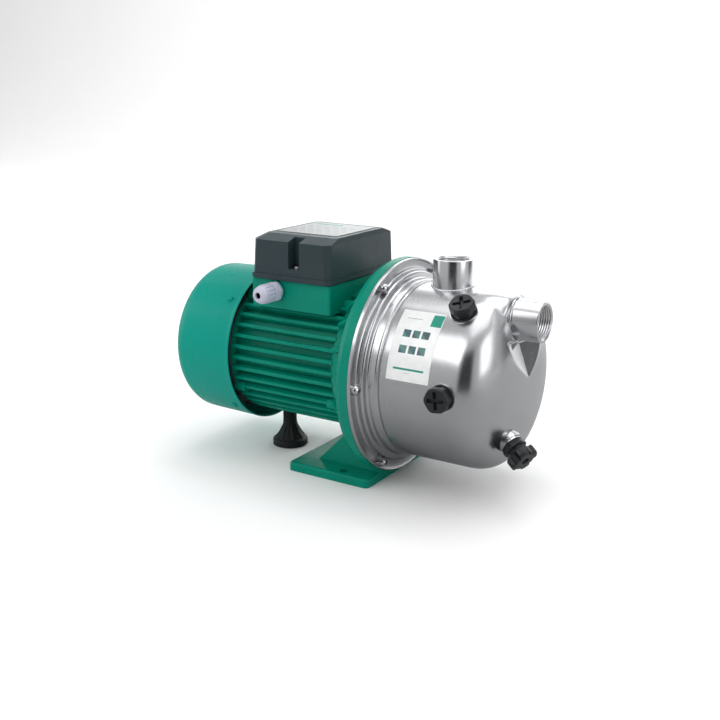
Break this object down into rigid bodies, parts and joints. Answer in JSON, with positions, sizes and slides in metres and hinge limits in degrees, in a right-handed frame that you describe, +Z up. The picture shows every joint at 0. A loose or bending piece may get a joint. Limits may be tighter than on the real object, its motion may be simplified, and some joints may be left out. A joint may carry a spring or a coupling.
{
  "type": "shallow well jet pump",
  "caption": "Self-priming shallow well jet pump: polished stainless casing with two threaded ports, finned electric motor on a cast foot, and a terminal box on top.",
  "frame": {"origin": "midpoint of the two base bolt holes, on the mounting plane", "axes": "+X along the shaft towards the suction socket, +Z up along the discharge socket, +Y completes the right-handed set"},
  "size_m": [0.3957, 0.215, 0.2403],
  "materials": {
    "black_rubber": "moulded",
    "brass_part": "cast and machined",
    "capacitor_can": "moulded can",
    "carbon": "lapped graphite",
    "cast_aluminium": "as cast",
    "ceramic_part": "lapped",
    "charcoal_plastic": "moulded",
    "copper": "enamelled copper wire",
    "cover_slate": "fine texture",
    "engineering_plastic": "moulded",
    "label_paper": "printed film",
    "lamination": "varnished laminations",
    "lavender_plastic": "moulded",
    "painted_green": "semi-gloss enamel",
    "painted_teal": "gloss enamel",
    "plate_foil": "anodised foil",
    "stainless": "polished pressed sheet",
    "steel": "machined",
    "zinc_screw": "bright zinc"
  },
  "bodies": {
    "pump_frame": {"body_label": "label_paper", "cable_gland_body": "lavender_plastic", "cable_gland_nut": "lavender_plastic", "cable_gland_seal": "black_rubber", "capacitor": "capacitor_can", "casing_o_ring": "black_rubber", "cover_screws": "zinc_screw", "diffuser": "engineering_plastic", "diffuser_screws": "zinc_screw", "discharge_port": "stainless", "drain_boss": "stainless", "ejector_body": "engineering_plastic", "ejector_o_ring": "black_rubber", "fan_cover": "painted_teal", "fan_cover_screws": "zinc_screw", "flange_screws": "zinc_screw", "flange_washers": "zinc_screw", "front_bearing_outer_ring": "steel", "jet_nozzle": "engineering_plastic", "motor_bracket": "painted_green", "nameplate": "plate_foil", "plug_bosses": "stainless", "pump_casing": "stainless", "rear_bearing_outer_ring": "steel", "rear_end_shield": "cast_aluminium", "rear_foot": "black_rubber", "rear_foot_screw": "zinc_screw", "seal_plate": "stainless", "seal_seat_cup": "black_rubber", "seal_stationary": "ceramic_part", "stator_core": "lamination", "stator_housing": "painted_green", "stator_windings": "copper", "suction_port": "stainless", "terminal_block": "charcoal_plastic", "terminal_box_cover": "cover_slate", "terminal_box_gasket": "black_rubber", "tie_bolts": "zinc_screw"},
    "rotor": {"shaft": "steel", "rotor_core": "lamination", "rotor_end_rings": "cast_aluminium", "slinger": "black_rubber", "cooling_fan": "charcoal_plastic", "impeller": "brass_part", "impeller_nut": "steel", "seal_rotating": "carbon", "seal_bellows": "black_rubber", "seal_spring": "steel", "front_bearing_inner_ring": "steel", "rear_bearing_inner_ring": "steel"},
    "front_bearing_set": {"front_bearing_balls": "steel", "front_bearing_cage": "steel"},
    "rear_bearing_set": {"rear_bearing_balls": "steel", "rear_bearing_cage": "steel"},
    "priming_plug_seal": {"priming_gasket": "black_rubber"},
    "priming_plug_screw": {"priming_plug": "charcoal_plastic"},
    "service_plug_seal": {"service_gasket": "black_rubber"},
    "service_plug_screw": {"service_plug": "charcoal_plastic"},
    "drain_plug_seal": {"drain_gasket": "black_rubber"},
    "drain_plug_screw": {"drain_plug": "charcoal_plastic"}
  },
  "joints": [
    {"name": "shaft_spin", "type": "hinge", "parent": "pump_frame", "child": "rotor", "pos_m": [0.037, 0, 0.112], "axis": [1, 0, 0], "continuous": true},
    {"name": "front_cage_spin", "type": "hinge", "parent": "pump_frame", "child": "front_bearing_set", "pos_m": [0.0105, 0, 0.112], "axis": [1, 0, 0], "continuous": true},
    {"name": "rear_cage_spin", "type": "hinge", "parent": "pump_frame", "child": "rear_bearing_set", "pos_m": [-0.1365, 0, 0.112], "axis": [1, 0, 0], "continuous": true},
    {"name": "priming_plug_travel", "type": "slide", "parent": "pump_frame", "child": "priming_plug_seal", "axis": [0, -0.5299, 0.848], "range_m": [0, 0.01451]},
    {"name": "priming_plug_turn", "type": "hinge", "parent": "priming_plug_seal", "child": "priming_plug_screw", "pos_m": [0.124, -0.0461, 0.18578], "axis": [0, -0.5299, 0.848], "range_deg": [0, 2880]},
    {"name": "service_plug_travel", "type": "slide", "parent": "pump_frame", "child": "service_plug_seal", "axis": [0, -0.9994, 0.0349], "range_m": [0, 0.01451]},
    {"name": "service_plug_turn", "type": "hinge", "parent": "service_plug_seal", "child": "service_plug_screw", "pos_m": [0.124, -0.08695, 0.11504], "axis": [0, -0.9994, 0.0349], "range_deg": [0, 2880]},
    {"name": "drain_plug_travel", "type": "slide", "parent": "pump_frame", "child": "drain_plug_seal", "axis": [0.7998, -0.2999, -0.5199], "range_m": [0, 0.01451]},
    {"name": "drain_plug_turn", "type": "hinge", "parent": "drain_plug_seal", "child": "drain_plug_screw", "pos_m": [0.16812, -0.02772, 0.06131], "axis": [0.7998, -0.2999, -0.5199], "range_deg": [0, 2880]}
  ],
  "couplings": [
    {"joint": "front_cage_spin", "follows": "shaft_spin", "ratio": 0.3812},
    {"joint": "rear_cage_spin", "follows": "shaft_spin", "ratio": 0.3812},
    {"joint": "priming_plug_travel", "follows": "priming_plug_turn", "m_per_rad": 0.00028871},
    {"joint": "service_plug_travel", "follows": "service_plug_turn", "m_per_rad": 0.00028871},
    {"joint": "drain_plug_travel", "follows": "drain_plug_turn", "m_per_rad": 0.00028871}
  ]
}
